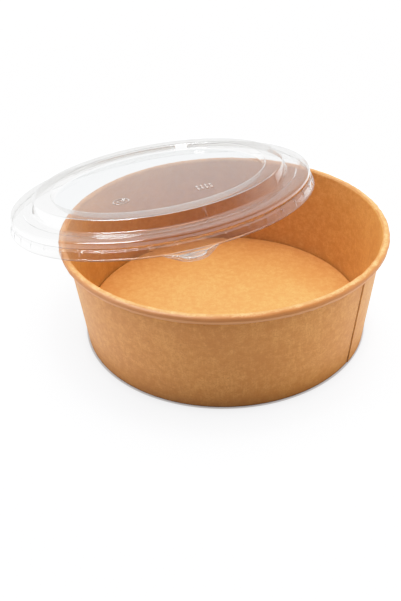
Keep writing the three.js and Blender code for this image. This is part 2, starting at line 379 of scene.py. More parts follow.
class Recipe:
    """A material or a room's background that is put together node by node."""

    def __init__(self, owner: Union[Material, World]) -> None:
        """Starts with an output node alone.

        Args:
            owner: The material or world.
        """
        owner.use_nodes = True
        self.owner = owner
        self.tree = owner.node_tree
        self.tree.nodes.clear()
        self.output = self.tree.nodes.new(f"ShaderNodeOutput{type(owner).__name__}")

    def node(
        self,
        kind: str,
        settings: dict[str, object] | None = None,
        values: dict[Union[str, int], Input] | None = None,
        result: Union[str, int] = 0,
    ) -> Signal:
        """Adds a node.

        Args:
            kind: Blender's name of the node's type, after "ShaderNode".
            settings: The node's own options.
            values: Value or link of each input socket, by name or number.
            result: Which output socket to return.

        Returns:
            The output socket, wrapped.
        """
        node = self.tree.nodes.new("ShaderNode" + kind)
        for name, value in (settings or {}).items():
            setattr(node, name, value)
        for name, value in (values or {}).items():
            self.feed(node.inputs[name], value)
        return Signal(self, node.outputs[result])

    def feed(self, socket: NodeSocket, value: Input) -> None:
        """Links a value to an input socket, or sets it there.

        Args:
            socket: The input socket.
            value: A wrapped output socket, a number or numbers.
        """
        if isinstance(value, Signal):
            self.tree.links.new(value.socket, socket)
        elif socket.type == "RGBA":
            socket.default_value = (*value, 1.0)
        else:
            socket.default_value = value

    def blend(self, factor: Input, first: Input, second: Input) -> Signal:
        """Mixes two colours by the share of the second."""
        return self.node("Mix", {"data_type": "RGBA"}, {0: factor, 6: first, 7: second}, 2)

    def layered(self, colour: Input, layers: Iterable[Layer]) -> Signal:
        """Lays colours over another, each where its own signal allows.

        Args:
            colour: The colour below.
            layers: From the bottom up, each layer's colour, its signal, the signal's values where
                it starts to show and where it shows most, and its share there.

        Returns:
            The mixed colour.
        """
        for tone, signal, ends, share in layers:
            colour = self.blend(signal.between(*ends) * share, colour, tone)
        return colour

    def noise(self, place: Input, size: float, detail: float = 2.0, roughness: float = 0.5) -> Signal:
        """Cloudy noise about 0.5, with blotches of a size in metres and finer layers on them."""
        values = {"Vector": place, "Scale": 1 / size, "Detail": detail, "Roughness": roughness}
        return self.node("TexNoise", {}, values)

    def place(self, centre: Vector, turn: Euler = Euler()) -> Signal:
        """Place on the piece, in the frame of its own axis.

        Args:
            centre: Origin of that frame.
            turn: How that frame is turned.

        Returns:
            The place, as a vector in metres.
        """
        where = self.node("TexCoord", result="Object")
        values = {"Vector": where, "Location": tuple(centre), "Rotation": tuple(turn)}
        return self.node("Mapping", {"vector_type": "TEXTURE"}, values)

    def part(self, vector: Signal, axis: str) -> Signal:
        """One component of a vector, X, Y or Z."""
        return self.node("SeparateXYZ", {}, {"Vector": vector}, axis)

    def stretched(self, vector: Signal, factors: Tone) -> Signal:
        """A vector with each component multiplied by a factor of its own."""
        return self.node("VectorMath", {"operation": "MULTIPLY"}, {0: vector, 1: factors})

    def length(self, vector: Signal) -> Signal:
        """Length of a vector."""
        return self.node("VectorMath", {"operation": "LENGTH"}, {0: vector}, 1)

    def finish(self, surface: Signal) -> Union[Material, World]:
        """Links the finished shader to the output and returns the material or world."""
        self.feed(self.output.inputs["Surface"], surface)
        return self.owner


class PaperSide(Enum):
    """The faces that a piece of board shows."""

    OUTSIDE = "outside"
    LINED = "lined"
    ROLLED = "rolled"
    # the seam's raw edge and the strip beside it, dark with painted shadow
    RAW_EDGE = "seam_shadow"


@dataclass(frozen=True)
class KraftFinish:
    """Brown kraft board: softly mottled tone, fine fibres and sparse flecks, with painted shade where
    asked.

    Attributes:
        side: Which face of the board this is.
        tone: Middle colour, linear.
        deep: Colour of the darker mottles, linear.
        pale: Colour of the paler mottles and fibres, linear.
        roughness: Middle roughness.
        relief: Height of the fibres, in metres.
        coat: Weight of the thin film on top.
        foot: Height below which painted shade darkens the tone towards the table, in metres.
        brow: Height of the painted highlight line along the roll's lower edge, which lies under a band of
            painted shade, in metres.
    """

    side: PaperSide
    tone: Tone
    deep: Tone
    pale: Tone
    roughness: float
    relief: float
    coat: float = 0.0
    foot: float = 0.0
    brow: float = 0.0

    def material(self, name: str, axis: Vector, wrapped: bool, seam: float = 0.0) -> Material:
        """Makes the material.

        Args:
            name: Name of the material.
            axis: A point on the bowl's axis.
            wrapped: Whether the grain follows the wall round, or lies flat.
            seam: Azimuth of the wall's seam, in degrees, where a wrapped grain starts and ends.

        Returns:
            The material.
        """
        recipe = Recipe(bpy.data.materials.new(name))
        place = recipe.place(axis, Euler((0, 0, math.radians(seam + 180))))
        rise = recipe.part(place, "Z")
        sheet = self._unrolled(recipe, place) if wrapped else place
        mottle = recipe.noise(sheet, MOTTLE, 4.0, 0.68) * 0.72 + recipe.noise(sheet, BLOTCH) * 0.28
        grain = recipe.noise(sheet, GRAIN, 2.0, 0.6)
        fibres = recipe.noise(recipe.stretched(sheet, (0.11, 1.0, 1.0)), FIBRE, 2.0, 0.55)
        ribs = recipe.noise(recipe.stretched(sheet, (1.0, 0.07, 1.0)), RIB, 2.0, 0.55)
        flecks = recipe.noise(recipe.stretched(sheet, (0.5, 1.0, 1.0)), FLECK, 1.0)
        dark = tuple(0.5 * channel for channel in self.deep)
        ribbing = 0.3 if self.side is PaperSide.OUTSIDE else 0.15
        layers = [
            (self.pale, fibres, (0.56, 0.78), 0.3),
            (self.deep, ribs, (0.40, 0.62), ribbing),
            (self.deep, grain, (0.56, 0.30), 0.75),
            (dark, flecks, (0.74, 0.82), 0.4),
        ]
        # Painted shade: darker towards the table below the height foot, ending in a painted contact shadow
        # line at the table.
        if self.foot:
            layers += [
                (dark, rise, (self.foot, -0.3 * self.foot), 0.45),
                (dark, rise, (0.4 * self.foot, -0.1 * self.foot), 0.4),
                (CONTACT_SHADOW, rise, (1.4 * MM, 0.0), 0.7),
            ]
        # Painted shade under the roll's crest, with a ragged edge, and a painted highlight line along the
        # roll's lower edge.
        if self.brow:
            shade_rag = recipe.noise(recipe.stretched(sheet, (0.6, 1.0, 1.0)), SHADE_RAG, 2.0, 0.6)
            ragged = rise + (shade_rag - 0.5) * (2 * MM)
            layers += [
                (self.deep, ragged, (self.brow + 3.3 * MM, self.brow + 2.8 * MM), 0.9),
                (self.pale, rise, (self.brow + 0.9 * MM, self.brow + 0.5 * MM), 0.75),
            ]
        colour = recipe.blend(mottle.between(0.36, 0.64), self.deep, self.pale)
        colour = recipe.layered(recipe.blend(0.3, colour, self.tone), layers)
        height = fibres * 0.5 + ribs * 0.5 + grain * 0.8
        values = {"Strength": 0.6, "Distance": self.relief, "Height": height}
        bump = recipe.node("Bump", {}, values)
        swing = 0.12
        rough = grain.between(0.25, 0.75) * swing + (self.roughness - swing / 2)
        film = rise.between(-0.1 * self.foot, self.foot) * self.coat if self.foot else self.coat
        values = {
            "Base Color": colour,
            "Roughness": rough,
            "Normal": bump,
            "Coat Weight": film,
            "Coat Roughness": 0.38,
            "Specular IOR Level": 0.35,
        }
        return recipe.finish(recipe.node("BsdfPrincipled", {}, values))

    @staticmethod
    def _unrolled(recipe: Recipe, place: Signal) -> Signal:
        """Place on the wall's sheet as if it were laid flat.

        Args:
            recipe: The material's recipe.
            place: Place in the frame of the wall's axis.

        Returns:
            Run along the sheet, height and distance from the axis, in metres.
        """
        turn = recipe.part(place, "Y").worked("ARCTAN2", recipe.part(place, "X"))
        out = recipe.length(recipe.stretched(place, (1, 1, 0)))
        values = {"X": turn * MEAN_RADIUS, "Y": recipe.part(place, "Z"), "Z": out}
        return recipe.node("CombineXYZ", {}, values)


@dataclass(frozen=True)
class ClearFinish:
    """Clear pressed plastic, with a trace of haze and faint waves in the sheet.

    Attributes:
        tint: Colour that the sheet lets through.
        haze: Share of milky scatter.
        milk: Colour of that scatter.
        shadow: Colour that light takes on its way through.
        refraction: Index of refraction.
        roughness: Roughness of the gloss.
        wave: Breadth of a wave.
        wave_height: Its height.
    """

    tint: Tone = (0.855, 0.85, 0.84)
    haze: float = 0.006
    milk: Tone = (0.88, 0.84, 0.79)
    shadow: Tone = (0.83, 0.82, 0.80)
    refraction: float = 1.57
    roughness: float = 0.03
    wave: float = 16 * MM
    wave_height: float = 0.4 * MM

    def material(self, name: str, pose: Matrix) -> Material:
        """Makes the material.

        Args:
            name: Name of the material.
            pose: Where the lid lies.

        Returns:
            The material.
        """
        recipe = Recipe(bpy.data.materials.new(name))
        waves = recipe.noise(recipe.place(pose.to_translation(), pose.to_euler()), self.wave, 1.0)
        values = {"Strength": 0.008, "Distance": self.wave_height, "Height": waves}
        bump = recipe.node("Bump", {}, values)
        values = {
            "Base Color": self.tint,
            "Roughness": self.roughness,
            "IOR": self.refraction,
            "Transmission Weight": 1.0,
            "Normal": bump,
        }
        plastic = recipe.node("BsdfPrincipled", {}, values)
        milk = recipe.node("BsdfDiffuse", {}, {"Color": self.milk})
        hazy = recipe.node("MixShader", {}, {0: self.haze, 1: plastic, 2: milk})
        shade = recipe.node("LightPath", result="Is Shadow Ray")
        soft = recipe.node("LightPath", result="Is Diffuse Ray")
        clear = recipe.node("BsdfTransparent", {}, {"Color": self.shadow})
        values = {0: shade.worked("MAXIMUM", soft), 1: hazy, 2: clear}
        return recipe.finish(recipe.node("MixShader", {}, values))


@dataclass(frozen=True)
class TableFinish:
    """Plain matt surface of the stage, with painted shadows round the bowl in its glow.

    Attributes:
        tone: Its colour, linear.
        glow: Light that it gives off by itself, as a white table lit from below does.
    """

    tone: Tone = (0.30, 0.31, 0.32)
    glow: float = 0.97

    def material(self, name: str, foot: Vector, shade: Vector) -> Material:
        """Makes the material.

        Args:
            name: Name of the material.
            foot: Middle of the painted contact shadow line where the bowl stands on it.
            shade: Middle of the faint bluish shade round the bowl.

        Returns:
            The material.
        """
        recipe = Recipe(bpy.data.materials.new(name))
        reach = recipe.length(recipe.place(shade))
        near = recipe.length(recipe.place(foot))
        # Painted shadows in the glow: a wide bluish shade round the bowl, a soft contact shadow and a dark
        # contact shadow line at the wall's foot.
        wide_shade = ((0.55, 0.60, 0.68), reach, (118 * MM, 78 * MM), 0.2)
        soft_contact_shadow = ((0.10, 0.07, 0.05), near, (90 * MM, 84 * MM), 0.12)
        contact_shadow_line = ((0.10, 0.06, 0.04), near, (84.8 * MM, 83.5 * MM), 0.85)
        values = {
            "Base Color": self.tone,
            "Roughness": 0.9,
            "Specular IOR Level": 0.1,
            "Emission Color": recipe.layered(WHITE, (wide_shade, soft_contact_shadow, contact_shadow_line)),
            "Emission Strength": self.glow,
        }
        return recipe.finish(recipe.node("BsdfPrincipled", {}, values))


OUTSIDE = KraftFinish(
    side=PaperSide.OUTSIDE,
    tone=(0.62, 0.247, 0.048),
    deep=(0.51, 0.176, 0.027),
    pale=(0.73, 0.323, 0.077),
    roughness=0.8,
    relief=0.00006,
    coat=0.35,
    # painted shade on the wall's outside, up to 22 mm above the table
    foot=0.022,
)
# Lined side of the board, kept darker than the floor's copy as painted shade on the wall's inside.
LINED = KraftFinish(
    side=PaperSide.LINED,
    tone=(0.55, 0.248, 0.055),
    deep=(0.46, 0.189, 0.034),
    pale=(0.63, 0.305, 0.077),
    roughness=0.6,
    relief=0.00004,
    coat=0.25,
)
# Lighter copy of the lined board for the bowl's floor: painted light, as the floor faces the lights above.
LIT_FLOOR = replace(LINED, tone=(0.66, 0.274, 0.074), deep=(0.58, 0.218, 0.050), pale=(0.74, 0.331, 0.098))
# Rolled rim: its deep tone makes the painted shade under the crest, its pale tone the painted highlight
# line at the lower edge.
ROLLED = KraftFinish(
    side=PaperSide.ROLLED,
    tone=(0.63, 0.25, 0.082),
    deep=(0.42, 0.145, 0.028),
    pale=(0.70, 0.31, 0.120),
    roughness=0.6,
    relief=0.00014,
    coat=0.18,
    brow=0.0604,
)
# Painted shadow of the seam's step: its raw edge and the strip beside it, far darker than raw board is.
RAW_EDGE = KraftFinish(
    side=PaperSide.RAW_EDGE,
    tone=(0.13, 0.06, 0.03),
    deep=(0.08, 0.035, 0.018),
    pale=(0.19, 0.09, 0.045),
    roughness=0.95,
    relief=0.00005,
)


# ---------------------------------------------------------------- paper bowl


@dataclass
class PaperBowl:
    """The bowl's wall and bottom.

    Attributes:
        axis: Where the bowl's axis meets the table.
        rim: Outside radius of the rolled rim.
        height: Height of the rim.
        floor: Height of the bottom disc's upper face.
        base: Outside radius of the wall at the table.
        board: Thickness of the board.
        roll: Outside radius of the rim's roll.
        roll_straight: Upright stretch between the roll's halves.
        roll_end: Angle at which the roll's raw edge stops, in degrees.
        fold: Outside radius of the bends under the stand ring.
        hem: Height of the hem's raw edge.
        gap: Air on either side of the bottom disc's edge.
        corner: Outside radius of the bend between disc and turned-down edge.
        seam: Azimuth of the outer layer's raw edge, in degrees.
        overlap: Degrees that both layers cover.
        ease: Degrees over which the outer layer comes back to the round.
        line: Breadth of the strip of painted shadow beside the raw edge, in degrees.
        sliver: Half the breadth of a step in the seam, in degrees.
        seam_top: Height up to which the overlap stands at its full step.
        lump: Breadth of a lump in the roll.
        dent: Depth of the dents between the lumps.
        sides: Number of flat sides round the axis.
    """

    axis: Vector
    rim: float
    height: float
    floor: float
    base: float = 83 * MM
    board: float = 0.5 * MM
    roll: float = 2.15 * MM
    roll_straight: float = 0.9 * MM
    roll_end: float = -130
    fold: float = 0.6 * MM
    hem: float = 5.6 * MM
    gap: float = 0.3 * MM
    corner: float = 1.6 * MM
    seam: float = -38.5
    overlap: float = 6.7
    ease: float = 30
    line: float = 0.3
    sliver: float = 0.01
    seam_top: float = 58 * MM
    lump: float = 3.8 * MM
    dent: float = 0.5 * MM
    sides: int = 240

    @classmethod
    def of_frame(cls) -> "PaperBowl":
        """Reads the bowl's place and outer sizes from the solids.

        Returns:
            The bowl.
        """
        low, high = (Vector(corner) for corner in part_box("bowl_wall"))
        middle = (low + high) / 2
        return cls(
            axis=Vector((middle.x, middle.y, 0)),
            rim=(high.x - low.x) / 2,
            height=high.z,
            floor=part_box("bowl_bottom")[1][2],
        )

    @property
    def roll_top(self) -> float:
        """Height of the middle of the roll's upper half."""
        return self.height - self.roll

    @property
    def roll_middle(self) -> float:
        """Radius of the circle through the middle of the roll."""
        return self.rim - self.roll

    def wall(self, height: float) -> float:
        """Outside radius of the wall at a height."""
        top = self.roll_middle - self.roll + self.board
        return self.base + (top - self.base) * height / self.roll_top

    def board_face(self, depth: float) -> list[Point]:
        """One face of the wall's board, from the hem's raw edge to the roll's.

        Args:
            depth: 0 for the face that shows outside, the board's thickness for the other.

        Returns:
            Radius and height of each point.
        """
        stack = 3 * self.board + 2 * self.gap
        fold = self.fold - depth
        foot = self.wall(self.fold)
        roll = self.roll - self.board + depth
        low = self.roll_top - self.roll_straight
        rises = [self.seam_top * step / 12 for step in range(1, 13)]
        return [
            (self.wall(self.hem) - stack + depth, self.hem),
            *arc((foot - stack + self.fold, self.fold), fold, 180, 270, 5),
            *arc((foot - self.fold, self.fold), fold, 270, 360, 5),
            *((self.wall(rise) - depth, rise) for rise in rises),
            *arc((self.roll_middle, self.roll_top), roll, 180, 0, 18),
            *arc((self.roll_middle, low), roll, 0, self.roll_end, 12),
        ]

    def build_wall(self) -> Object:
        """Turns the wall, steps its seam and dresses its faces.

        Returns:
            The wall, in its place.
        """
        bench = Bench("paper_wall")
        outline = [*self.board_face(0), *reversed(self.board_face(self.board))]
        bench.turn([*outline, outline[0]], self.sides)
        half_side = math.pi / self.sides
        bpy.ops.transform.rotate(value=half_side, orient_axis="Z", center_override=(0, 0, 0))
        self._step_seam(bench)
        self._dress_wall(bench)
        self._dent_roll(bench)
        return bench.place(Matrix.Translation(self.axis), sharp=35)

    def _beyond(self, point: Vector) -> float:
        """How far a point lies beyond the seam's raw edge, in degrees."""
        return (azimuth_of(point) - self.seam) % 360

    def _depth(self, point: Vector) -> float:
        """How far a point lies inside the wall's outer face."""
        return self.wall(point.z) - radius_of(point)

    def _is_outer(self, point: Vector) -> bool:
        """Whether a point lies on the wall's outer face rather than on its inner one."""
        return self._depth(point) < self.board / 2

    def _stands(self, point: Vector) -> bool:
        """Whether a point is on the straight wall, below the roll and outside the hem."""
        near = abs(self._depth(point) - self.board / 2) < 1.2 * self.board
        return near and self.fold - TINY < point.z < self.seam_top + TINY

    def _is_on_roll(self, point: Vector) -> bool:
        """Whether a point lies outside the middle of the rolled board.

        Args:
            point: The point.

        Returns:
            True there.
        """
        nearest = min(max(point.z, self.roll_top - self.roll_straight), self.roll_top)
        out = math.hypot(radius_of(point) - self.roll_middle, point.z - nearest)
        return out > self.roll - self.board / 2

    def _step_seam(self, bench: Bench) -> None:
        """Raises the outer layer over the overlap, with a clean edge inside and outside.

        Args:
            bench: The turned wall.
        """
        step = 360 / self.sides
        for edge in (self.seam, self.seam + self.overlap):
            for side in (-self.sliver, self.sliver):
                bench.cut(edge + side, step)
        bench.cut(self.seam - self.line, step)

        def is_doubled(point: Vector) -> bool:
            """Whether a point is on the outer layer of the overlap."""
            return 0 < self._beyond(point) < self.overlap and self._is_outer(point)

        self._raise(bench, is_doubled, 1.0)
        for column in range(math.ceil(self.ease / step) + 1):
            start = self.overlap + column * step
            share = (start + step / 2 - self.overlap) / self.ease
            share = 1 - share * share * (3 - 2 * share) if share < 1 else 0
            self._raise(bench, lambda point: start <= self._beyond(point) < start + step, share)

    def _raise(self, bench: Bench, wanted: Callable[[Vector], bool], share: float) -> None:
        """Moves the wall's vertices that pass a test outwards by a share of the board's thickness."""
        if share > 0 and bench.pick(lambda point: self._stands(point) and wanted(point)):
            bench.spread(1 + share * self.board / self.wall(self.height / 2))

    def _dent_roll(self, bench: Bench) -> None:
        """Makes the roll slightly lumpy, as rolled board is.

        Args:
            bench: The dressed wall.
        """
        bench.pick(lambda point: point.z > self.seam_top + MM and self._is_on_roll(point))
        bpy.ops.object.vertex_group_assign_new()
        lumps = bpy.data.textures.new("roll_lumps", "CLOUDS")
        lumps.noise_scale = self.lump
        lumps.noise_depth = 1
        group = bench.piece.vertex_groups[-1].name
        bench.modify("DISPLACE", texture=lumps, strength=self.dent, mid_level=0.8, vertex_group=group)

    def _dress_wall(self, bench: Bench) -> None:
        """Gives the wall's faces their sides of the board.

        Args:
            bench: The wall with its stepped seam.
        """

        def is_lined(middle: Vector, normal: Vector) -> bool:
            """Whether a face is on the inside of the wall."""
            return 0.4 * self.board < self._depth(middle) < 2 * self.board

        def is_rolled(middle: Vector, normal: Vector) -> bool:
            """Whether a face is on the outside of the roll."""
            return self._is_on_roll(middle) and middle.z > self.seam_top and self._depth(middle) < 0

        def is_raw(middle: Vector, normal: Vector) -> bool:
            """Whether a face is on the seam's raw edge or on the strip beside it, below the rim; both carry
            painted shadow.
            """
            beside = not 1.1 * self.sliver <= self._beyond(middle) <= 360 - self.line
            return beside and self._is_outer(middle) and middle.z < self.seam_top - 4 * MM

        tests = (OUTSIDE, is_any), (LINED, is_lined), (ROLLED, is_rolled), (RAW_EDGE, is_raw)
        for finish, wanted in tests:
            name = f"kraft_{finish.side.value}"
            bench.dress(finish.material(name, self.axis, True, self.seam), wanted)

    def build_bottom(self) -> Object:
        """Turns the bottom disc with its turned-down edge and dresses it.

        Returns:
            The bottom, in its place.
        """
        bench = Bench("paper_bottom")
        foot = self.board + self.gap
        bend = self.floor - self.corner
        edge = self.wall(foot) - self.board - self.gap
        bent = self.wall(bend) - self.board - self.gap
        rings = [bent * step / 10 for step in range(10)]
        outline = [
            *((ring, self.floor - self.board) for ring in rings),
            *arc((bent - self.corner, bend), self.corner - self.board, 90, 0, 6),
            (edge - self.board, foot),
            (edge, foot),
            *arc((bent - self.corner, bend), self.corner, 0, 90, 8),
            *((ring, self.floor) for ring in reversed(rings)),
        ]
        bench.turn(outline, self.sides)
        bench.dress(OUTSIDE.material("kraft_underside", self.axis, False))

        def is_top(middle: Vector, normal: Vector) -> bool:
            """Whether a face is on the disc's upper side."""
            return middle.z > self.floor - 0.6 * self.board and normal.z > 0.2

        # the floor's upper side takes the lighter copy of the lined board, painted light
        bench.dress(LIT_FLOOR.material("kraft_lit_floor", self.axis, False), is_top)
        return bench.place(Matrix.Translation(self.axis), sharp=35)


# ---------------------------------------------------------------- clear lid


@dataclass
class ClearLid:
    """The pressed lid, in its own frame until it is placed.

    Attributes:
        pose: Where it lies. Its own frame has the lip in z = 0 and the pull tab along +Y.
        sheet: Thickness of the plastic.
        radius: Outside radius of the lip.
        lip: Width of the lip.
        panel: Height of the middle panel.
        ring: Height of the stacking ring.
        channel: Height of the channel round the ring.
        shoulder: Height of the shoulder.
        shoulder_radius: Outside radius of the shoulder.
        waist: Radius of the undercut.
        lug_count: Number of snap lugs.
        lug_rise: How far a lug stands out.
        lug_zone: Height of its lower and upper end.
        rib_turn: Azimuth of the first rib on the ring, from the tab, in degrees.
        rib_rise: How far such a rib stands out.
        rib_zone: Height of its lower and upper end.
        ring_wall: Radius of the ring's outer wall.
        panel_edge: Radius of the middle panel.
        mark_circle: Distance of the marks from the axis.
        marks_end: Radius beyond which there are none.
        rings_at: Azimuth of the marks that are rings, from the tab, in degrees.
        bars_at: Azimuth of the marks that are bars, from the tab, in degrees.
        sides: Number of flat sides round the axis.
    """

    pose: Matrix
    sheet: float = 0.35 * MM
    radius: float = 93.9 * MM
    lip: float = 0.8 * MM
    panel: float = 11.6 * MM
    ring: float = 15.8 * MM
    channel: float = 9.1 * MM
    shoulder: float = 9.8 * MM
    shoulder_radius: float = 91.9 * MM
    waist: float = 90.9 * MM
    lug_count: int = 45
    lug_rise: float = 0.5 * MM
    lug_zone: Point = (3.1 * MM, 5.7 * MM)
    rib_turn: float = 9.2
    rib_rise: float = 0.9 * MM
    rib_zone: Point = (10.4 * MM, 14.6 * MM)
    ring_wall: float = 77 * MM
    panel_edge: float = 64 * MM
    mark_circle: float = 38.5 * MM
    marks_end: float = 50 * MM
    rings_at: float = -43.5
    bars_at: float = 34.7
    sides: int = 540

    @classmethod
    def of_frame(cls) -> "ClearLid":
        """Reads where the lid lies from its solid.

        Returns:
            The lid.
        """
        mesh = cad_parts["lid"].data
        total: dict[tuple[float, ...], Vector] = defaultdict(Vector)
        for face in mesh.polygons:
            if face.normal.z > 0:
                key = tuple(round(part, 2) for part in face.normal)
                total[key] = total[key] + face.normal * face.area
        up = max(total.values(), key=lambda way: way.length).normalized()
        points = [vertex.co.copy() for vertex in mesh.vertices]
        top = max(point.dot(up) for point in points)
        crown = [point for point in points if point.dot(up) > top - 0.02 * MM]
        side = up.orthogonal().normalized()
        centre = up * top
        for way in (side, up.cross(side)):
            reach = [point.dot(way) for point in crown]
            centre += way * (min(reach) + max(reach)) / 2
        spokes = [point - centre - up * (point - centre).dot(up) for point in points]
        longest = max(spoke.length for spoke in spokes)
        nose = sum((spoke for spoke in spokes if spoke.length > 0.99 * longest), Vector()).normalized()
        across = nose.cross(up).normalized()
        turn = Matrix((across, up.cross(across), up)).transposed().to_4x4()
        return cls(Matrix.Translation(centre - up * cls.ring) @ turn)

    def outline(self) -> list[Point]:
        """Upper and outer face from the middle of the panel to the lip.

        Returns:
            Radius and height of each point.
        """
        spokes = [(step * 12 * MM, self.panel, 0.0) for step in range(6)]
        flank = [(76.55, 15.0), (76.75, 14.4), (78.0, 10.6), (78.18, 10.05)]
        return rounded(
            [
                *spokes,
                (64.5 * MM, self.panel, 1.0 * MM),
                (65.9 * MM, self.ring, 0.8 * MM),
                (71.0 * MM, self.ring, 0.0),
                (76.28 * MM, self.ring, 0.8 * MM),
                *((x * MM, y * MM, 0.0) for x, y in flank),
                (78.5 * MM, self.channel, 0.9 * MM),
                (83.3 * MM, self.channel, 0.4 * MM),
                (84.2 * MM, self.shoulder - 0.1 * MM, 0.5 * MM),
                (self.shoulder_radius, self.shoulder, 1.6 * MM),
                (self.shoulder_radius - 0.1 * MM, 5.9 * MM, 0.45 * MM),
                (self.waist, 5.1 * MM, 0.25 * MM),
                (92.1 * MM, 4.2 * MM, 0.4 * MM),
                (92.4 * MM, 3.2 * MM, 0.0),
                (self.radius - self.lip, 0.6 * MM, 0.4 * MM),
                (self.radius, self.sheet, 0.0),
            ],
            4,
        )

    def build(self) -> Object:
        """Turns the lid's sheet, presses lugs and ribs, thickens it and adds tab and marks.

        Returns:
            The lid, in its place.
        """
        bench = Bench("clear_lid")
        bench.turn(self.outline(), self.sides)
        bench.face_up()
        pitch, quarter = 360 / self.lug_count, 90
        self._pick_columns(bench, pitch / 2, pitch, (self.waist - TINY, self.radius), self.lug_zone)
        bench.spread(1 + self.lug_rise / self.waist)
        walls = (self.ring_wall - MM, self.ring_wall + 2 * MM)
        self._pick_columns(bench, self.rib_turn, quarter, walls, self.rib_zone)
        bench.spread(1 + self.rib_rise / self.ring_wall)
        bench.modify("SOLIDIFY", thickness=self.sheet, offset=-1, use_even_offset=True)
        for extra in (self._tab(), *self._marks()):
            bench.combine(extra, "UNION")
        bench.piece.data.materials.clear()  # fusing leaves empty slots
        bpy.ops.object.mode_set(mode="EDIT")
        plastic = ClearFinish()
        bench.dress(plastic.material("clear_plastic", self.pose))
        panel = replace(plastic, tint=(0.82, 0.85, 0.86)).material("clear_panel", self.pose)
        bench.dress(panel, lambda middle, normal: radius_of(middle) < self.panel_edge)
        folds = replace(plastic, haze=0.15).material("pressed_folds", self.pose)
        bench.dress(folds, self._is_fold)
        return bench.place(self.pose, sharp=40)

    def _is_fold(self, middle: Vector, normal: Vector) -> bool:
        """Whether a face is on a cut edge, the tab's relief or a mark, which look whiter.

        Args:
            middle: The face's middle.
            normal: Its normal.

        Returns:
            True on such a face.
        """
        out = radius_of(middle)
        if out < self.marks_end:
            return middle.z > self.panel + 0.02 * MM
        if out < self.radius - 0.1 * MM:
            return False
        return abs(normal.z) < 0.9 or 1.1 * self.sheet < middle.z < 2.5 * self.sheet

    def _pick_columns(self, bench: Bench, first: float, pitch: float, radii: Point, heights: Point) -> None:
        """Selects narrow upright columns of the sheet that repeat round the axis.

        Args:
            bench: The turned sheet.
            first: Azimuth of one column, from the tab, in degrees.
            pitch: Degrees from one column to the next.
            radii: Least and greatest radius of a column's vertices.
            heights: Their least and greatest height.
        """
        half_width = 0.8 * 360 / self.sides

        def is_in_column(point: Vector) -> bool:
            """Whether a vertex belongs to a column.

            Args:
                point: Its place.

            Returns:
                True in a column.
            """
            if not heights[0] < point.z < heights[1]:
                return False
            off = (azimuth_of(point) - 90 - first) % pitch
            return radii[0] < radius_of(point) < radii[1] and min(off, pitch - off) < half_width

        bench.pick(is_in_column)

    def _tab(self) -> Object:
        """Pull tab: a flat tongue with a hollow half-round grip raised out of it.

        Returns:
            The tab, in the lid's own frame.
        """
        nose, nose_radius, nose_angle = 97.8 * MM, 9.2 * MM, math.radians(35)
        root, grip, rise = 92.9 * MM, 7.0 * MM, 0.85 * MM
        chord = nose + nose_radius * math.sin(nose_angle)
        run = chord - root
        bench = Bench("pull_tab")
        bench.disc(nose_radius, (0, nose, self.sheet), 96, chord)
        bench.pick(lambda point: point.y < chord + TINY)
        bpy.ops.mesh.extrude_edges_move(TRANSFORM_OT_translate={"value": (0, -run, 0)})
        widen = 1 + run * math.tan(nose_angle) / (nose_radius * math.cos(nose_angle))
        bpy.ops.transform.resize(value=(widen, 1, 1), center_override=(0, root, 0))
        bench.face_out()
        bench.face_up()
        bench.modify("SOLIDIFY", thickness=self.sheet, offset=-1)
        raised = self._half_disc("grip_raised", grip, nose, -SINK, rise + self.sheet)
        hollow = self._half_disc("grip_hollow", grip - self.sheet, nose + self.sheet, -1 * MM, rise)
        for extra in (raised, self._arm(-1, rise), self._arm(1, rise)):
            bench.combine(extra, "UNION")
        bench.combine(hollow, "DIFFERENCE")
        return bench.take_off()

    def _arm(self, side: int, rise: float) -> Object:
        """Ridge from the grip's corner to the tab's root.

        Args:
            side: Which side of the tab, -1 or 1.
            rise: How far the grip stands above the tab.

        Returns:
            The ridge.
        """
        start, end = Vector((6.6, 98.2)) * MM, Vector((13.0, 93.7)) * MM
        run, middle = end - start, (start + end) / 2
        size = (run.length, 0.9 * MM, 0.4 * rise + self.sheet)
        turn = side * math.degrees(math.atan2(run.y, run.x))
        bench = Bench(f"grip_arm_{side + 2}")
        bench.block(size, (side * middle.x, middle.y, size[2] / 2 - SINK), turn, 0.25 * MM)
        return bench.take_off()

    def _half_disc(self, name: str, radius: float, centre: float, low: float, high: float) -> Object:
        """Half-round block with its round side outwards and a softened upper edge.

        Args:
            name: Name of the object.
            radius: Radius of the round side.
            centre: Distance of its middle from the lid's axis.
            low: Height of its lower face.
            high: Height of its upper face.

        Returns:
            The block.
        """
        bench = Bench(name)
        bench.disc(radius, (0, centre, high), 64, centre)
        bpy.ops.mesh.select_all(action="SELECT")
        bpy.ops.mesh.extrude_region_move(TRANSFORM_OT_translate={"value": (0, 0, low - high)})
        bench.face_out()
        bench.pick(lambda point: point.z > high - TINY)
        bpy.ops.mesh.bevel(offset=0.3 * MM, segments=3, affect="EDGES")
        return bench.take_off()

    def _on_panel(self, azimuth: float) -> Vector:
        """Place of a group of marks on the panel, at an azimuth from the tab in degrees."""
        turn = math.radians(90 + azimuth)
        return Vector((math.cos(turn), math.sin(turn), 0)) * self.mark_circle + Vector((0, 0, self.panel))

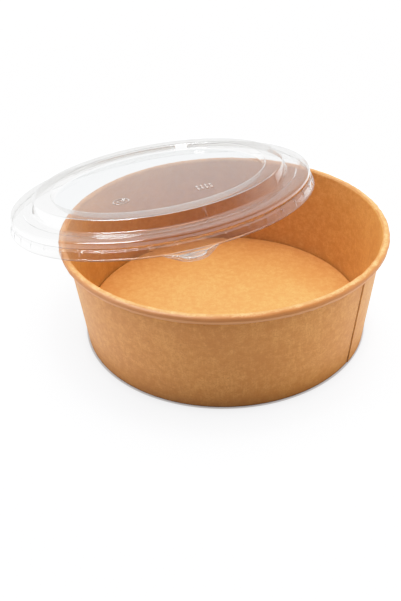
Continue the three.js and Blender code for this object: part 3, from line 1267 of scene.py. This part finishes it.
    def _marks(self) -> list[Object]:
        """Plain raised marks on the panel: two rings, and eight bars in two rows.

        Returns:
            The marks, in the lid's own frame.
        """
        marks = []
        bar, spacing = Vector((1.2, 3.4, 0.5)) * MM, Vector((2.6, 4.6)) * MM
        spot = self._on_panel(self.rings_at)
        for radius in (2.0 * MM, 4.6 * MM):
            bench = Bench(f"mark_{len(marks)}")
            bpy.ops.mesh.primitive_torus_add(
                location=spot,
                major_radius=radius,
                minor_radius=0.45 * MM,
                major_segments=48,
                minor_segments=12,
            )
            bpy.ops.object.transform_apply(location=True, rotation=True, scale=True)
            bench.christen()
            bpy.ops.transform.resize(value=(1, 1, 0.6), center_override=tuple(spot))
            marks.append(bench.take_off())
        spot = self._on_panel(self.bars_at)
        for row in (-0.5, 0.5):
            for column in (-1.5, -0.5, 0.5, 1.5):
                place = spot + Vector((column * spacing.x, row * spacing.y, 0))
                bench = Bench(f"mark_{len(marks)}")
                bench.block(bar, place, 0, 0.2 * MM)
                marks.append(bench.take_off())
        return marks


# ---------------------------------------------------------------- studio


@dataclass(frozen=True)
class SoftBox:
    """A rectangular light that faces the bowl.

    Attributes:
        name: Its name.
        offset: Its place from the bowl's foot.
        size: Its breadth and height.
        power: Its power, in watts.
        tone: Its colour.
    """

    name: str
    offset: Tone
    size: Point
    power: float
    tone: Tone = WHITE

    def hang(self, foot: Vector) -> Object:
        """Hangs the light.

        Args:
            foot: Middle of the bowl's foot.

        Returns:
            The light.
        """
        data = bpy.data.lights.new(self.name, "AREA")
        data.shape = "RECTANGLE"
        data.size, data.size_y = self.size
        data.energy = self.power
        data.color = self.tone
        light = bpy.data.objects.new(self.name, data)
        light.location = foot + Vector(self.offset)
        light.rotation_euler = (-Vector(self.offset)).to_track_quat("-Z", "Y").to_euler()
        bpy.context.scene.collection.objects.link(light)
        return light


WINDOW = SoftBox("window", (-0.80, -0.50, 0.99), (1.0, 0.5), 34.0)
FILLS = (
    SoftBox("left_card", (-1.2, -0.35, 0.06), (0.8, 0.4), 6.0),
    SoftBox("right_card", (1.2, -0.35, 0.06), (0.8, 0.4), 8.5, (0.94, 1.0, 1.2)),
    SoftBox("left_box", (-1.1, 0.05, 0.9), (0.7, 0.7), 5.0),
    SoftBox("right_box", (1.1, 0.15, 0.9), (0.7, 0.7), 4.0),
    SoftBox("ceiling", (0.1, 0.5, 1.25), (1.7, 1.4), 34.0),
)


@dataclass
class Studio:
    """White table, soft lights and the camera.

    Attributes:
        axis: Where the bowl's axis meets the table.
        stand: Camera's place from there.
        elevation: How far the camera looks down, in degrees.
        roll: How far the camera leans, in degrees.
        focus: Focal length as a multiple of the picture's width.
    """

    axis: Vector
    stand: Vector = Vector((-14.3, -343.5, 247.3)) * MM
    elevation: float = 34.57
    roll: float = -2.47
    focus: float = 687 / 401

    def build_table(self) -> Object:
        """Lays the table under the bowl.

        Returns:
            The table.
        """
        bench = Bench("table")
        bpy.ops.mesh.primitive_plane_add(size=12)
        bench.christen()
        table = bench.take_off()
        shade = self.axis + Vector((-16, 4, 0)) * MM
        table.data.materials.append(TableFinish().material("white_table", self.axis, shade))
        table.visible_diffuse = False
        table.visible_shadow = False
        return table

    def build_foot_card(self) -> Object:
        """Lays a dark card under the bowl, hidden by the table, that shades the wall's foot.

        Returns:
            The card.
        """
        bench = Bench("foot_card")
        bench.disc(112 * MM, self.axis - Vector((0, 0, 0.5 * MM)), 64)
        card = bench.take_off()
        finish = TableFinish(tone=(0.05, 0.03, 0.02), glow=0.0)
        card.data.materials.append(finish.material("dark_card", self.axis, self.axis))
        return card

    def hang_lights(self) -> None:
        """Hangs the window, which only streaks gloss, and the fills, which only light matt faces."""
        WINDOW.hang(self.axis).visible_diffuse = False
        for fill in FILLS:
            light = fill.hang(self.axis)
            light.visible_glossy = False
            light.visible_transmission = False

    def light_room(self) -> None:
        """Lights the room, which is bright behind and dim in front."""
        room = bpy.data.worlds.new("room")
        bpy.context.scene.world = room
        recipe = Recipe(room)
        way = recipe.node("TexCoord", result="Generated")
        rise = recipe.part(way, "Z")
        depth = recipe.part(way, "Y") * 0.5 + 0.5
        glow = recipe.node("ValToRGB", {}, {"Fac": depth})
        stops = glow.socket.node.color_ramp.elements
        levels = {0.0: 0.03, 0.3: 0.125, 0.5: 0.475, 0.72: 0.5, 1.0: 0.425}
        for place in list(levels)[1:-1]:
            stops.new(place)
        for stop, level in zip(stops, levels.values()):
            stop.color = (level, level, level, 1.0)
        mirrored = recipe.node("LightPath", result="Is Diffuse Ray") * -1.0 + 1.0
        glow = recipe.blend(mirrored * depth.between(0.6, 0.2) * 0.12, glow, (0.45, 0.45, 0.45))
        ceiling = (WHITE, rise, (0.45, 0.85), 0.6)
        floor = ((0.25, 0.25, 0.25), rise, (0.02, -0.02), 1.0)
        values = {"Color": recipe.layered(glow, (ceiling, floor)), "Strength": 2.0}
        recipe.finish(recipe.node("Background", {}, values))

    def build_camera(self) -> None:
        """Sets up the camera at the photograph's angle."""
        data = bpy.data.cameras.new("camera")
        data.sensor_fit = "HORIZONTAL"
        data.sensor_width = 36.0
        data.lens = self.focus * data.sensor_width
        data.clip_start = 0.01
        camera = bpy.data.objects.new("camera", data)
        tip = Matrix.Rotation(math.radians(90 - self.elevation), 4, "X")
        lean = Matrix.Rotation(math.radians(self.roll), 4, "Z")
        camera.matrix_world = Matrix.Translation(self.axis + self.stand) @ tip @ lean
        bpy.context.scene.collection.objects.link(camera)
        bpy.context.scene.camera = camera


# ---------------------------------------------------------------- assembly


def settle(piece: Object, nodes: Iterable[str]) -> None:
    """Makes a finished piece stand for its solids and logs it.

    Args:
        piece: The finished piece.
        nodes: The solids that it replaces.
    """
    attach(piece, "root")
    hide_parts(*nodes)
    LOG.info("%s stands for %s with %d faces", piece.name, ", ".join(nodes), len(piece.data.polygons))


def develop(view: ColorManagedViewSettings) -> None:
    """Sets a plain tone curve that rolls off softly above white, as a camera's does.

    Args:
        view: The scene's view settings.
    """
    view.view_transform = "Standard"
    view.use_curve_mapping = True
    mapping = view.curve_mapping
    top = 1.8
    mapping.white_level = (top, top, top)
    shades = ((0.6, 0.6), (0.75, 0.72), (0.9, 0.81), (1.1, 0.895), (1.35, 0.961), (1.5, 0.994))
    for light, shown in shades:
        mapping.curves[3].points.new(light / top, shown)
    mapping.update()


def main() -> None:
    """Builds the bowl, its lid and the studio."""
    logging.basicConfig(level=logging.INFO, format="%(name)s: %(message)s")
    scene = bpy.context.scene
    develop(scene.view_settings)
    scene.cycles.transparent_max_bounces = 32
    scene.cycles.caustics_refractive = False
    scene.cycles.caustics_reflective = False
    bowl = PaperBowl.of_frame()
    settle(bowl.build_wall(), ["bowl_wall"])
    settle(bowl.build_bottom(), ["bowl_bottom"])
    settle(ClearLid.of_frame().build(), ["lid"])
    studio = Studio(bowl.axis)
    studio.build_table()
    studio.build_foot_card()
    studio.hang_lights()
    studio.light_room()
    studio.build_camera()


if __name__ == "__main__":
    main()
